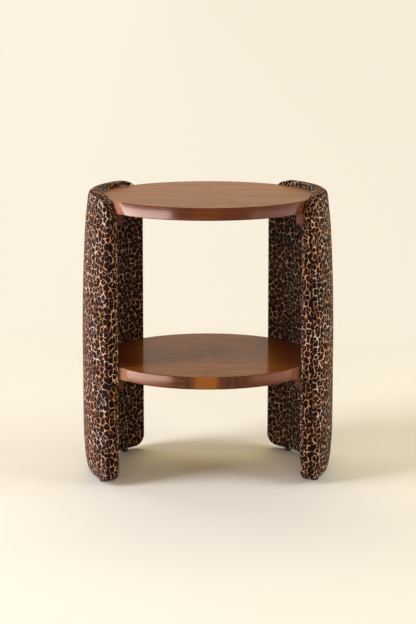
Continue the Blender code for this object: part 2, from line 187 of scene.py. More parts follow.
# Studio: the floor runs out into the background where the camera or a mirror sees it far enough off
FLOOR_HALF = 60.0
FLOOR_SEEN = (0.8, 1.7)
FLOOR_MIRRORED = (5.0, 9.0)
FLOOR_REACH = 1.6
AIR_REACH = 0.2
FLOOR_COLOUR = (0.92, 0.865, 0.775, 1)
BACKGROUND_LEFT = (0.98, 0.90, 0.75, 1)
BACKGROUND_RIGHT = (0.93, 0.845, 0.695, 1)
AIR_COLOUR = (1.0, 0.82, 0.72, 1)
AIR_STRENGTH = 0.02

# Lamps that light the object and cards that only its gloss shows: name, place, size, power, colour
LAMP_AIM = (0, 0, 0.3)
CARD_AIM_BACK = 0.2
COOL, PLAIN, WARM = (0.98, 1.0, 1.09), (1.0, 1.0, 1.0), (1.22, 1.04, 0.54)
STUDIO_LIGHTS = (("left_window", (-3.30, -1.43, 1.9), (1.7, 3.0), 154.0, COOL),
                 ("front_fill", (0, -4.2, 2.2), (3.0, 2.0), 50.0, WARM),
                 ("right_fill", (3.6, -1.0, 1.9), (3.4, 2.0), 106.0, PLAIN),
                 ("high_back_fill", (0, 2.6, 3.4), (2.4, 2.0), 43.0, WARM),
                 ("left_back_fill", (-2.6, 2.4, 2.4), (2.0, 2.0), 35.0, PLAIN),
                 ("right_back_fill", (2.6, 2.4, 2.4), (2.0, 2.0), 19.0, PLAIN))
REFLECTOR_CARDS = (("left_high_card", (-0.95, -0.10, 0.38), (1.8, 0.24), 33.0, (1.0, 0.83, 0.79)),
                   ("left_low_card", (-0.95, -0.10, 0.13), (1.8, 0.26), 31.0, (1.0, 0.72, 0.58)),
                   ("right_high_card", (0.95, -0.20, 0.38), (1.5, 0.24), 3.2, (1.0, 0.78, 0.84)),
                   ("right_low_card", (0.95, -0.20, 0.13), (1.5, 0.26), 5.2, (1.0, 0.66, 0.48)))


# Shader building blocks
def put(tree, kind, inputs=(), **settings):
    """Adds a node with its settings; each named input takes a value or a link."""
    made = tree.nodes.new("ShaderNode" + kind)
    for key, value in settings.items():
        setattr(made, key, value)
    for key, value in dict(inputs).items():
        if isinstance(value, bpy.types.NodeSocket):
            tree.links.new(value, made.inputs[key])
        else:
            made.inputs[key].default_value = value
    return made


def calc(tree, operation, first, second=0.0, third=0.0):
    return put(tree, "Math", {0: first, 1: second, 2: third}, operation=operation).outputs[0]


def blend_colours(tree, factor, first, second, mode="MIX"):
    inputs = {0: factor, 6: first, 7: second}
    return put(tree, "Mix", inputs, data_type="RGBA", blend_type=mode).outputs[2]


def fade(tree, value, start, end, low=0.0, high=1.0):
    """A soft step from low to high as a value goes from start to end."""
    inputs = {"Value": value, "From Min": start, "From Max": end, "To Min": low, "To Max": high}
    return put(tree, "MapRange", inputs, interpolation_type="SMOOTHSTEP").outputs[0]


def scaled(tree, vector, scale):
    return put(tree, "VectorMath", {0: vector, 1: scale}, operation="MULTIPLY").outputs[0]


def clouds(tree, vector, scale, detail=2.0, roughness=0.5, distortion=0.0):
    inputs = {"Vector": vector, "Scale": scale, "Detail": detail, "Roughness": roughness,
              "Distortion": distortion}
    return put(tree, "TexNoise", inputs)


def pushed(tree, vector, colour, reach):
    """A vector that a cloudy colour moves about."""
    inputs = {0: colour, 1: (reach,) * 3, 2: vector}
    return put(tree, "VectorMath", inputs, operation="MULTIPLY_ADD").outputs[0]


def shaded(tree, colour, share):
    """A colour made darker or lighter by a share."""
    grey = put(tree, "CombineColor", {0: share, 1: share, 2: share}).outputs[0]
    return blend_colours(tree, 1.0, colour, grey, "MULTIPLY")


def new_group(name, inputs, outputs):
    """An empty shader group with named sockets, each of a given kind."""
    group = bpy.data.node_groups.new(name, "ShaderNodeTree")
    for way, sockets in (("INPUT", inputs), ("OUTPUT", outputs)):
        for key, kind in sockets.items():
            group.interface.new_socket(key, in_out=way, socket_type="NodeSocket" + kind)
    return group, group.nodes.new("NodeGroupInput").outputs, group.nodes.new("NodeGroupOutput").inputs


def use_group(tree, group, inputs):
    return put(tree, "Group", inputs, node_tree=group).outputs


def new_material(name, **sockets):
    """A material with its Principled shader's plain values set."""
    material = bpy.data.materials.new(name)
    material.use_nodes = True
    shader = material.node_tree.nodes["Principled BSDF"]
    for key, value in sockets.items():
        shader.inputs[key.replace("_", " ")].default_value = value
    return material, material.node_tree, shader.inputs


def add_bump(tree, shader, height, distance, strength=1.0):
    bump = put(tree, "Bump", {"Height": height, "Distance": distance, "Strength": strength})
    tree.links.new(bump.outputs[0], shader["Normal"])


def object_place(tree):
    return put(tree, "TexCoord").outputs["Object"]


# Shared effects
def make_leopard_group():
    """Dark blotches with thin, broken tan lines between them, some with a brown heart."""
    group, given, result = new_group("leopard_print", {
        "Vector": "Vector", "Spots": "Float", "Line": "Float", "Deep": "Color", "Pale": "Color",
        "Painted Light": "Float"}, {"Color": "Color", "Height": "Float"})
    fabric = given["Vector"]
    wander = clouds(group, fabric, 130.0, 2.0).outputs["Color"]
    drift = clouds(group, fabric, 38.0, 1.0).outputs["Color"]
    moved = pushed(group, pushed(group, fabric, wander, 0.0075), drift, 0.010)
    layout = {"Vector": moved, "Scale": given["Spots"], "Randomness": 0.95}
    cells = put(group, "TexVoronoi", layout, voronoi_dimensions="2D", feature="F1").outputs
    borders = put(group, "TexVoronoi", layout, voronoi_dimensions="2D", feature="DISTANCE_TO_EDGE").outputs[0]
    chance = put(group, "SeparateColor", {0: cells["Color"]}).outputs
    ragged = clouds(group, fabric, 480.0, 2.0).outputs["Fac"]
    swelling = clouds(group, fabric, 75.0, 2.0).outputs["Fac"]
    width = calc(group, "MULTIPLY", given["Line"], fade(group, swelling, 0.30, 0.72, 0.45, 1.8))
    rounding = fade(group, cells["Distance"], 0.40, 0.80, 0.040, 0.100)
    near_border = calc(group, "MULTIPLY_ADD", ragged, 0.08, calc(group, "SUBTRACT", borders, rounding))
    lines = fade(group, near_border, calc(group, "ADD", width, 0.016), calc(group, "SUBTRACT", width, 0.016))
    gaps = fade(group, clouds(group, fabric, 110.0, 1.0).outputs["Fac"], 0.40, 0.50, 0.12, 1.0)
    far_corners = fade(group, calc(group, "MULTIPLY_ADD", ragged, 0.2, cells["Distance"]), 0.95, 1.03)
    lines = calc(group, "MAXIMUM", calc(group, "MULTIPLY", lines, gaps), far_corners)
    heart_reach = calc(group, "MULTIPLY_ADD", chance["Green"], 0.14, 0.05)
    from_middle = calc(group, "MULTIPLY_ADD", ragged, 0.24, calc(group, "SUBTRACT", cells["Distance"], 0.12))
    print_heart_and_painted_reflection = fade(group, from_middle, calc(group, "ADD", heart_reach, 0.07), heart_reach)
    print_heart_and_painted_reflection = calc(group, "MULTIPLY", print_heart_and_painted_reflection, fade(group, chance["Red"], 0.66, 0.74))
    shade = clouds(group, fabric, 24.0, 3.0).outputs["Fac"]
    ground = blend_colours(group, fade(group, shade, 0.35, 0.68), given["Deep"], given["Pale"])
    blotch = blend_colours(group, fade(group, swelling, 0.4, 0.62), *BLOTCHES)
    middle = blend_colours(group, chance["Blue"], *HEARTS)
    # A share of painted light lifts the blotches towards the hearts' brown
    printed = blend_colours(group, calc(group, "MAXIMUM", print_heart_and_painted_reflection, given["Painted Light"]), blotch, middle)
    printed = blend_colours(group, lines, printed, ground)
    nap = fade(group, clouds(group, fabric, 9.0, 3.0).outputs["Fac"], 0.3, 0.7, 0.82, 1.14)
    group.links.new(shaded(group, printed, nap), result["Color"])
    group.links.new(clouds(group, fabric, 1100.0, 3.0, 0.6).outputs["Fac"], result["Height"])
    return group


def make_grain_group():
    """Stained wood with its grain along the vector's X: a broad figure, fine streaks and short pores."""
    group, given, result = new_group("wood_grain", {
        "Vector": "Vector", "Dark": "Color", "Mid": "Color", "Light": "Color"},
        {"Color": "Color", "Streaks": "Float"})
    wide, fine, short = [scaled(group, given["Vector"], (along, across, across))
                         for along, across in ((1.1, 13.0), (3.0, 190.0), (45.0, 1100.0))]
    figure = clouds(group, wide, 2.6, 5.0, 0.55, 0.7).outputs["Fac"]
    streaks = clouds(group, fine, 1.0, 3.0, 0.6).outputs["Fac"]
    dashes = clouds(group, short, 1.0, 1.0, 0.5).outputs["Fac"]
    colour = blend_colours(group, fade(group, figure, 0.34, 0.66), given["Dark"], given["Mid"])
    colour = blend_colours(group, fade(group, streaks, 0.42, 0.70), colour, given["Light"])
    colour = blend_colours(group, fade(group, dashes, 0.60, 0.72, 0.0, 0.3), colour, given["Dark"])
    group.links.new(colour, result["Color"])
    group.links.new(streaks, result["Streaks"])
    return group


LEOPARD = make_leopard_group()
GRAIN = make_grain_group()


# Finishes
def make_leopard_pile(name, spots, line, deep, pale, painted_light):
    """Printed pile: the scale of the print differs a little between cloths, and the paler tan lines and
    lifted darks of some cloths are painted sheen and painted light.
    """
    material, tree, shader = new_material(name, Roughness=0.85, Specular_IOR_Level=0.02,
                                          Sheen_Weight=0.075, Sheen_Roughness=0.35)
    shader["Sheen Tint"].default_value = (1.0, 0.60, 0.45, 1)
    fabric = put(tree, "UVMap", uv_map="fabric").outputs[0]
    cloth = use_group(tree, LEOPARD, {"Vector": fabric, "Spots": spots, "Line": line, "Deep": deep,
                                      "Pale": pale, "Painted Light": painted_light})
    # Painted shade along the outer seam, broken up by noise
    to_seam = calc(tree, "ABSOLUTE", put(tree, "Attribute", attribute_name="to_seam").outputs["Fac"])
    uneven = fade(tree, clouds(tree, fabric, 90.0, 1.0).outputs["Fac"], 0.35, 0.60, 0.55, 1.0)
    seam_shade = calc(tree, "MULTIPLY", fade(tree, to_seam, *SEAM_SHADE_REACH), uneven)
    colour = blend_colours(tree, seam_shade, cloth["Color"], SEAM_SHADE_COLOUR)
    tree.links.new(colour, shader["Base Color"])
    add_bump(tree, shader, cloth["Height"], 0.0006, 0.6)
    return material


def grained(tree, vector, stain):
    """Wood grain along a vector's X, in the dark, mid and light of a stain."""
    dark, mid, light = stain
    return use_group(tree, GRAIN, {"Vector": vector, "Dark": dark, "Mid": mid, "Light": light})


def polish(tree, shader, grain, smooth, rough, relief):
    """Gloss and relief that follow the streaks of the grain."""
    tree.links.new(fade(tree, grain["Streaks"], 0.3, 0.7, smooth, rough), shader["Roughness"])
    add_bump(tree, shader, grain["Streaks"], relief)


def make_lacquered_veneer(name, gloss, blur, stain, shade_share):
    """Red-brown stain under a thin satin lacquer, with painted shade beside the panels by a given share."""
    material, tree, shader = new_material(name, Roughness=0.5, Specular_IOR_Level=0.0, IOR=1.5,
                                          Coat_Weight=gloss, Coat_Roughness=blur)
    spot = object_place(tree)
    grain = grained(tree, spot, stain)
    parts = put(tree, "SeparateXYZ", {0: spot}).outputs
    # Painted shade: darker towards the panels, a little weaker towards the front
    aside = calc(tree, "ABSOLUTE", calc(tree, "SUBTRACT", parts["X"], PAINTED_SHADE_MIDDLE))
    painted_zone = calc(tree, "MULTIPLY", fade(tree, aside, *PAINTED_SHADE_SIDES, 0.0, shade_share),
                  fade(tree, parts["Y"], *PAINTED_SHADE_FRONT, 0.6, 1.0))
    waves = clouds(tree, scaled(tree, spot, (11.0, 34.0, 34.0)), 1.0, 3.0, 0.55, 1.4).outputs["Fac"]
    colour = shaded(tree, grain["Color"], fade(tree, waves, 0.36, 0.64, 0.84, 1.16))
    tree.links.new(blend_colours(tree, painted_zone, colour, PAINTED_SHADE_COLOUR), shader["Base Color"])
    polish(tree, shader, grain, 0.45, 0.55, 0.00003)
    return material


def make_lacquered_edge(name, painted_reflections, highlight_turn, right_highlight_share):
    """The polished veneer band round a shelf's rim, with a painted warm reflection at its front between
    painted dark reflections that cross it, and a painted highlight at its ends beside the panels."""
    material, tree, shader = new_material(name, Roughness=0.2, Specular_IOR_Level=0.2)
    parts = put(tree, "SeparateXYZ", {0: object_place(tree)}).outputs
    turn = calc(tree, "ARCTAN2", parts["X"], calc(tree, "MULTIPLY", parts["Y"], -1.0))
    run = calc(tree, "MULTIPLY", turn, SHELF_RADIUS)
    along = put(tree, "CombineXYZ", {"X": run, "Y": parts["Z"]}).outputs[0]
    grain = grained(tree, along, EDGE_STAIN)
    # Painted warm reflection at the front of the band
    off_reflection = calc(tree, "ABSOLUTE", calc(tree, "SUBTRACT", turn, PAINTED_REFLECTION_TURN))
    print_heart_and_painted_reflection = fade(tree, off_reflection, *PAINTED_REFLECTION_EDGE, 0.0, painted_reflections)
    colour = blend_colours(tree, print_heart_and_painted_reflection, grain["Color"], PAINTED_REFLECTION)
    crossing = clouds(tree, scaled(tree, along, (1.0, 0.12, 1.0)), 95.0, 2.0).outputs["Fac"]
    # Painted dark reflections beside it
    painted_zone = calc(tree, "MULTIPLY", fade(tree, off_reflection, *DARK_REFLECTIONS_START), fade(tree, off_reflection, *DARK_REFLECTIONS_STOP))
    dark_reflections = calc(tree, "MULTIPLY", fade(tree, crossing, 0.42, 0.58, 0.0, painted_reflections), painted_zone)
    colour = blend_colours(tree, dark_reflections, colour, PAINTED_DARK_REFLECTION)
    # Painted highlight at the ends beside the panels, weaker on the right
    aside = calc(tree, "ABSOLUTE", turn)
    highlight_mask = calc(tree, "MULTIPLY", fade(tree, aside, highlight_turn, highlight_turn + PAINTED_HIGHLIGHT_FADE),
                    fade(tree, aside, *PAINTED_HIGHLIGHT_STOP))
    highlight_mask = calc(tree, "MULTIPLY", highlight_mask, fade(tree, turn, *PAINTED_HIGHLIGHT_SIDES, 1.0, right_highlight_share))
    tree.links.new(blend_colours(tree, highlight_mask, colour, PAINTED_HIGHLIGHT), shader["Base Color"])
    polish(tree, shader, grain, 0.17, 0.24, 0.00003)
    return material


def make_lacquered_cleat():
    """Stained solid wood, less polished than the shelves."""
    material, tree, shader = new_material("lacquered_cleat", Roughness=0.5, Specular_IOR_Level=0.08)
    grain = grained(tree, object_place(tree), CLEAT_STAIN)
    tree.links.new(grain["Color"], shader["Base Color"])
    polish(tree, shader, grain, 0.45, 0.55, 0.00004)
    return material


def make_plywood():
    """Bare bent plywood."""
    material, tree, shader = new_material("birch_plywood", Roughness=0.6)
    grain = grained(tree, object_place(tree), BIRCH)
    tree.links.new(grain["Color"], shader["Base Color"])
    add_bump(tree, shader, grain["Streaks"], 0.0001)
    return material


def make_speckled(name, dark, light, scale, height, **sockets):
    """A moulded, woven or foamed surface: two close colours in a fine grain, with its relief."""
    material, tree, shader = new_material(name, **sockets)
    speckle = clouds(tree, object_place(tree), scale, 3.0, 0.6).outputs["Fac"]
    tree.links.new(blend_colours(tree, fade(tree, speckle, 0.35, 0.65), dark, light), shader["Base Color"])
    tree.links.new(fade(tree, speckle, 0.3, 0.7, sockets["Roughness"] - 0.05, sockets["Roughness"] + 0.05),
                   shader["Roughness"])
    add_bump(tree, shader, speckle, height)
    return material


# The outer and inner cloths have paler tan lines than the strip as painted sheen, and the inner cloth's darks
# are lifted by painted light
PILES = (make_leopard_pile("outer_pile", 86.0, 0.034, (0.60, 0.300, 0.150, 1), (0.69, 0.540, 0.430, 1), 0.0),
         make_leopard_pile("strip_pile", 76.0, 0.033, (0.60, 0.265, 0.115, 1), (0.66, 0.440, 0.300, 1), 0.0),
         make_leopard_pile("inner_pile", 98.0, 0.029, (0.60, 0.390, 0.280, 1), (0.66, 0.550, 0.460, 1), 0.10))
# The lower veneer carries painted shade beside the panels
VENEERS = {"top": make_lacquered_veneer("top_veneer", 0.52, 0.30, TOP_STAIN, 0.0),
           "lower": make_lacquered_veneer("lower_veneer", 0.33, 0.14, LOWER_STAIN, 0.85)}
# Edge bands: strength of the painted reflections, where the painted highlight starts, and its share on the
# right
EDGE_BANDS = {"top": make_lacquered_edge("top_edge_band", 0.12, 0.885, 0.15),
              "lower": make_lacquered_edge("lower_edge_band", 0.9, 0.825, 0.42)}
CLEAT_WOOD = make_lacquered_cleat()
PLYWOOD = make_plywood()
FOAM = make_speckled("foam", (0.74, 0.66, 0.46, 1), (0.82, 0.76, 0.60, 1), 700.0, 0.0004, Roughness=0.9)
DUST_CLOTH = make_speckled("dust_cloth", (0.012, 0.012, 0.013, 1), (0.030, 0.029, 0.028, 1), 900.0, 0.0002,
                           Roughness=0.92)
STEEL = make_speckled("zinc_plated_steel", (0.50, 0.50, 0.47, 1), (0.62, 0.61, 0.58, 1), 260.0, 0.00002,
                      Roughness=0.34, Metallic=1.0)
GLIDE_PLASTIC = make_speckled("glide_plastic", (0.012, 0.008, 0.007, 1), (0.028, 0.018, 0.014, 1), 420.0,
                              0.00006, Roughness=0.45)


# Meshes
def add_piece(name, mesh, materials, node):
    """A piece on the one CAD body, in place of the node it stands for."""
    piece = bpy.data.objects.new(name, mesh)
    bpy.context.scene.collection.objects.link(piece)
    for material in materials:
        mesh.materials.append(material)
    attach(piece, "root")
    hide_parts(node)
    return piece


def mesh_of(name, points, faces):
    mesh = bpy.data.meshes.new(name)
    mesh.from_pydata(points, [], faces)
    mesh.shade_smooth()
    return mesh


def turned_mesh(name, outline, steps, sides=0):
    """A solid about Z from (radius, height) points, top to bottom, axis to axis; a point with a third
    value true lies on a ring of so many straight sides."""
    points = [(0, 0, outline[0][1])]
    for radius, height, *straight in outline[1:-1]:
        for i in range(steps):
            angle = 2 * pi * i / steps
            reach = radius
            if straight:
                reach *= cos(pi / sides) / cos(angle % (2 * pi / sides) - pi / sides)
            points.append((reach * cos(angle), reach * sin(angle), height))
    points.append((0, 0, outline[-1][1]))
    rings = len(outline) - 2
    faces = []
    for i in range(steps):
        after = (i + 1) % steps
        faces.append((0, 1 + i, 1 + after))
        for ring in range(rings - 1):
            low = 1 + ring * steps
            high = low + steps
            faces.append((low + i, high + i, high + after, low + after))
        last = 1 + (rings - 1) * steps
        faces.append((len(points) - 1, last + after, last + i))
    mesh = mesh_of(name, points, faces)
    mesh.set_sharp_from_angle(angle=SHARP_ANGLE)
    return mesh


def quarter_arc(centre_radius, centre_height, arc_radius, start_deg, steps):
    angles = [radians(start_deg - 90 * i / steps) for i in range(steps + 1)]
    return [(centre_radius + arc_radius * cos(a), centre_height + arc_radius * sin(a)) for a in angles]


def on_panel(u, v, z, side):
    """Where a point of the flat panel comes to lie on the left (-1) or right (1) side."""
    radius = SHELF_RADIUS + v
    return Vector((side * radius * cos(u / SHELF_RADIUS), radius * sin(u / SHELF_RADIUS), z))


def outer_face(u, z):
    """How far the crowned outer face of a panel stands from the shelf edge, as in the CAD."""
    rise = max(0.0, (z - BELLY_HEIGHT) / (PANEL_TOP - BELLY_HEIGHT))
    fall = max(0.0, (BELLY_HEIGHT - z) / (BELLY_HEIGHT - PANEL_BOTTOM))
    across = (2 * u - U_FRONT - U_BACK) / (U_BACK - U_FRONT)
    belly = TOP_THICKNESS + (BODY_THICKNESS - TOP_THICKNESS) * (1 - rise ** 2)
    return belly - BOTTOM_DRAW * fall ** BOTTOM_DRAW_POWER - END_DRAW * across ** END_DRAW_POWER


def crowned(u, v, z, slack):
    """Thins the flat panel to its crowned form, which is drawn in by the slack that swelling takes up."""
    share = (v - PANEL_CLEARANCE) / (BODY_THICKNESS - PANEL_CLEARANCE)
    return PANEL_CLEARANCE + share * (outer_face(u, z) - slack - PANEL_CLEARANCE)


def elevation_outline():
    """Points, outward directions and lengths run round the panel's rounded elevation."""
    low_u, high_u, low_z, high_z = U_FRONT, U_BACK, PANEL_BOTTOM, PANEL_TOP
    low_r, high_r = BOTTOM_CORNER_RADIUS, TOP_CORNER_RADIUS
    corners = [((low_u + low_r, low_z + low_r), low_r), ((high_u - low_r, low_z + low_r), low_r),
               ((high_u - high_r, high_z - high_r), high_r), ((low_u + high_r, high_z - high_r), high_r)]
    samples, run = [], 0.0
    for k, cells in enumerate((CELLS_U, CELLS_Z, CELLS_U, CELLS_Z)):
        facing = (k - 1) * pi / 2
        (c0, r0), (c1, r1) = corners[k], corners[(k + 1) % 4]
        straight = abs((c1[0] - c0[0]) * -sin(facing) + (c1[1] - c0[1]) * cos(facing))
        total = (r0 + r1) * pi / 4 + straight
        for i in range(cells):
            s = total * i / cells
            ahead = min(max(s - r0 * pi / 4, 0.0), straight)
            centre, radius, angle = c0, r0, facing - pi / 4 + min(s / r0, pi / 4)
            if s > r0 * pi / 4 + straight:
                centre, radius, angle = c1, r1, facing + (s - r0 * pi / 4 - straight) / r1
                ahead = 0.0
            direction = Vector((cos(angle), sin(angle)))
            point = Vector(centre) + radius * direction + ahead * Vector((-sin(facing), cos(facing)))
            samples.append((point, direction, run + s))
        run += total
    return samples


def rim_rings():
    """Rings round the panel's rim, from the inner face to the outer one, as (draw-in, v)."""
    inner, outer = INNER_RIM_RADIUS, OUTER_RIM_RADIUS
    rings = [(inner * (1 - sin(a)), PANEL_CLEARANCE + inner * (1 - cos(a))) for a in RIM_TURNS]
    gusset = [SEAMS[1][0] + step * SEAM_HALF_WIDTH for step in (0, 1, 2)] + GUSSET_RINGS
    rings += [(0.0, v) for v in gusset]
    painted_zone = [OUTER_SEAM_TURN + step * SEAM_HALF_WIDTH / outer for step in (-1, 1)]
    end = BODY_THICKNESS - outer
    rings += [(outer * (1 - cos(a)), end + outer * sin(a)) for a in sorted(RIM_TURNS + painted_zone)]
    return rings


def coons(border, i, j):
    """A point inside a grid that is stretched between its four curved sides."""
    s, t = i / CELLS_U, j / CELLS_Z
    count = len(border)
    bottom, top = border[i], border[(2 * CELLS_U + CELLS_Z - i) % count]
    back, front = border[CELLS_U + j], border[(count - j) % count]
    corners = (border[0] * (1 - s) * (1 - t) + border[CELLS_U] * s * (1 - t)
               + border[CELLS_U + CELLS_Z] * s * t + border[2 * CELLS_U + CELLS_Z] * (1 - s) * t)
    return bottom * (1 - t) + top * t + front * (1 - s) + back * s - corners


def closed_skin(rings, side):
    """Flat points and faces of a panel's shape: rings round its rim, given as (draw-in, v), and a grid on
    each face. Each face also gets the v of its middle."""
    samples = elevation_outline()
    count = len(samples)
    flat = [(*(point - draw_in * direction), v) for draw_in, v in rings for point, direction, _ in samples]
    faces, middles = [], []
    for ring in range(len(rings) - 1):
        low, high = ring * count, (ring + 1) * count
        for m in range(count):
            after = (m + 1) % count
            faces.append((low + m, high + m, high + after, low + after))
            middles.append((rings[ring][1] + rings[ring + 1][1]) / 2)
    for ring in (0, len(rings) - 1):
        start, v = ring * count, rings[ring][1]
        border = [Vector(flat[start + m][:2]) for m in range(count)]
        ids = {}
        for i in range(CELLS_U + 1):
            ids[i, 0], ids[i, CELLS_Z] = start + i, start + 2 * CELLS_U + CELLS_Z - i
        for j in range(CELLS_Z + 1):
            ids[0, j], ids[CELLS_U, j] = start + (count - j) % count, start + CELLS_U + j
        for i in range(1, CELLS_U):
            for j in range(1, CELLS_Z):
                ids[i, j] = len(flat)
                flat.append((*coons(border, i, j), v))
        for i in range(CELLS_U):
            for j in range(CELLS_Z):
                square = (ids[i, j], ids[i, j + 1], ids[i + 1, j + 1], ids[i + 1, j])
                faces.append(square if ring else square[::-1])
                middles.append(v)
    if side > 0:
        faces = [face[::-1] for face in faces]
    return [(u, v, z) for u, z, v in flat], faces, middles


def fabric_places(rings, flat):
    """Where each point lies on the outer and on the inner cloth, in metres, and its run round the rim."""
    samples = elevation_outline()
    stretch = 1 + BODY_THICKNESS / SHELF_RADIUS
    lengths = [0.0]
    for (d0, v0), (d1, v1) in zip(rings, rings[1:]):
        lengths.append(lengths[-1] + hypot(d1 - d0, v1 - v0))
    outer, inner, runs = [], [], []
    for length in lengths:
        for point, direction, run in samples:
            x, y = point + (lengths[-1] - length - OUTER_RIM_RADIUS) * direction
            outer.append((x * stretch, y))
            x, y = point + (length - INNER_RIM_RADIUS) * direction
            inner.append((-x, y))
            runs.append(run)
    for u, _, z in flat[len(runs):]:
        outer.append((u * stretch, z))
        inner.append((-u, z))
        runs.append(0.0)
    return outer, inner, runs


def padded_panel_mesh(name, side):
    """The panel's sewn cover as one closed skin of even cells, with fabric coordinates in metres."""
    rings = rim_rings()
    flat, faces, middles = closed_skin(rings, side)
    outer, inner, runs = fabric_places(rings, flat)
    slack = PUFF_START
    mesh = mesh_of(name, [on_panel(u, crowned(u, v, z, slack), z, side) for u, v, z in flat], faces)
    layer = mesh.uv_layers.new(name="fabric")
    for polygon, middle in zip(mesh.polygons, middles):
        part = sum(middle < seam for seam, _ in SEAMS)
        places = inner if part == 2 else outer
        polygon.material_index = part
        shift_x, shift_y = CLOTH_SHIFTS[part]
        for loop in polygon.loop_indices:
            x, y = places[mesh.loops[loop].vertex_index]
            layer.uv[loop].vector = (side * (x + SIDE_SHIFT) + shift_x, y + shift_y)
    ring_points = len(rings) * len(elevation_outline())
    to_seam = [v - SEAMS[0][0] if k < ring_points else 1.0 for k, (u, v, z) in enumerate(flat)]
    for key, values in (("to_seam", to_seam), ("run", runs)):
        mesh.attributes.new(key, "FLOAT", "POINT").data.foreach_set("value", values)
    held = []
    for k, (u, v, z) in enumerate(flat):
        sewn = any(abs(v - seam) < SAME_PLACE for seam, _ in SEAMS)
        if v < PANEL_CLEARANCE + INNER_RIM_RADIUS or sewn or z < HELD_BELOW:
            held.append(k)
    return mesh, held, flat


def puffed(piece, held):
    """Lets the cloth swell under pressure, and returns how far each point moves."""
    piece.vertex_groups.new(name="held").add(held, 1.0, "REPLACE")
    swell = piece.modifiers.new("swell", "CLOTH")
    swell.settings.vertex_group_mass = "held"
    swell.settings.use_pressure = True
    swell.settings.uniform_pressure_force = PUFF_PRESSURE
    swell.settings.effector_weights.gravity = 0.0
    swell.point_cache.frame_start = 1
    swell.point_cache.frame_end = PUFF_FRAMES
    for number in range(1, PUFF_FRAMES + 1):
        bpy.context.scene.frame_set(number)
    shown = piece.evaluated_get(bpy.context.evaluated_depsgraph_get()).to_mesh()
    moves = [new.co - old.co for new, old in zip(shown.vertices, piece.data.vertices)]
    piece.modifiers.clear()
    piece.vertex_groups.clear()
    bpy.context.scene.frame_set(1)
    return moves


def apply_modifiers(piece):
    """Turns what a piece's modifiers show into its own mesh."""
    graph = bpy.context.evaluated_depsgraph_get()
    finished = bpy.data.meshes.new_from_object(piece.evaluated_get(graph), depsgraph=graph)
    piece.modifiers.clear()
    piece.data = finished
    return finished


def sew(mesh, flat):
    """Draws the seam lines in, all round but under the panel."""
    normals = [vertex.normal.copy() for vertex in mesh.vertices]
    for k, (_, v, z) in enumerate(flat):
        for seam, depth in SEAMS:
            near = 1 - abs(v - seam) / SEAM_REACH
            if near > 0 and z > SEAM_LOW_END:
                mesh.vertices[k].co -= depth * near * normals[k]


def pucker(mesh):
    """Small gathers along the outer seam, where each stitch pulls the pile."""
    mesh.update()
    count = len(mesh.vertices)
    to_seam, runs = [0.0] * count, [0.0] * count
    mesh.attributes["to_seam"].data.foreach_get("value", to_seam)
    mesh.attributes["run"].data.foreach_get("value", runs)
    normals = [vertex.normal.copy() for vertex in mesh.vertices]
    for k, vertex in enumerate(mesh.vertices):
        gap = abs(to_seam[k])
        if gap < PUCKER_REACH:
            beat = runs[k] / PUCKER_LENGTH + PUCKER_DRIFT * noise.noise((runs[k] * PUCKER_DRIFT_SCALE, 0, 0))
            lift = (0.5 - 0.5 * cos(2 * pi * beat)) * (1 - gap / PUCKER_REACH) ** 2
            vertex.co -= PUCKER_DEPTH * lift * normals[k]


def make_padded_panel(label, side):
    """The cover, swollen over its padding, then sewn and gathered."""
    mesh, held, flat = padded_panel_mesh(label + "_padded_panel", side)
    piece = add_piece(label + "_padded_panel", mesh, PILES, label + "_cover")
    for vertex, move in zip(mesh.vertices, puffed(piece, held)):
        vertex.co += move.normalized() * min(move.length, PUFF_LIMIT)
    mesh.update()
    sew(mesh, flat)
    finer = piece.modifiers.new("finer", "SUBSURF")
    finer.levels = finer.render_levels = 1
    pucker(apply_modifiers(piece))


def make_shelf(level):
    """A round board with softened edges: veneer on its faces, a polished band round its rim."""
    half, edge = SHELF_THICKNESS / 2, SHELF_EDGE_RADIUS
    rim = quarter_arc(SHELF_RADIUS - edge, half - edge, edge, 90, SHELF_EDGE_STEPS)
    rim += quarter_arc(SHELF_RADIUS - edge, edge - half, edge, 0, SHELF_EDGE_STEPS)
    support = SHELF_RADIUS - 1.5 * edge
    outline = [(0, half), (support, half)] + rim + [(support, -half), (0, -half)]
    name = level + "_round_shelf"
    mesh = turned_mesh(name, outline, SHELF_STEPS)
    mesh.transform(Matrix.Translation((0, 0, SHELF_HEIGHTS[level] - half)))
    add_piece(name, mesh, [VENEERS[level], EDGE_BANDS[level]], level + "_shelf")
    for polygon in mesh.polygons:
        polygon.material_index = 0 if abs(polygon.normal.z) > FACE_LEAN else 1


def arc_block_mesh(name, u_range, v_range, z_range, side, cells, edge):
    """A block bent along the panel's arc, with softened edges."""
    points, faces = [], []
    for i in range(cells + 1):
        u = u_range[0] + (u_range[1] - u_range[0]) * i / cells
        for v, z in ((0, 0), (1, 0), (1, 1), (0, 1)):
            points.append(on_panel(u, v_range[v], z_range[z], side))
    for i in range(cells):
        for k in range(4):
            after = (k + 1) % 4
            faces.append((4 * i + k, 4 * i + after, 4 * i + 4 + after, 4 * i + 4 + k))
    faces += [(3, 2, 1, 0), tuple(4 * cells + k for k in range(4))]
    if side > 0:
        faces = [face[::-1] for face in faces]
    mesh = mesh_of(name, points, faces)
    bm = bmesh.new()
    bm.from_mesh(mesh)
    sharp = [line for line in bm.edges if line.calc_face_angle() > SHARP_ANGLE]
    bmesh.ops.bevel(bm, geom=sharp, offset=edge, segments=3, profile=0.5, affect="EDGES")
    bm.to_mesh(mesh)
    bm.free()
    mesh.shade_smooth()
    mesh.set_sharp_from_angle(angle=SHARP_ANGLE)
    return mesh


def placed(point, direction):
    """Takes what points up at the origin to a point, turned towards a direction."""
    return Matrix.Translation(point) @ direction.to_track_quat("Z", "Y").to_matrix().to_4x4()


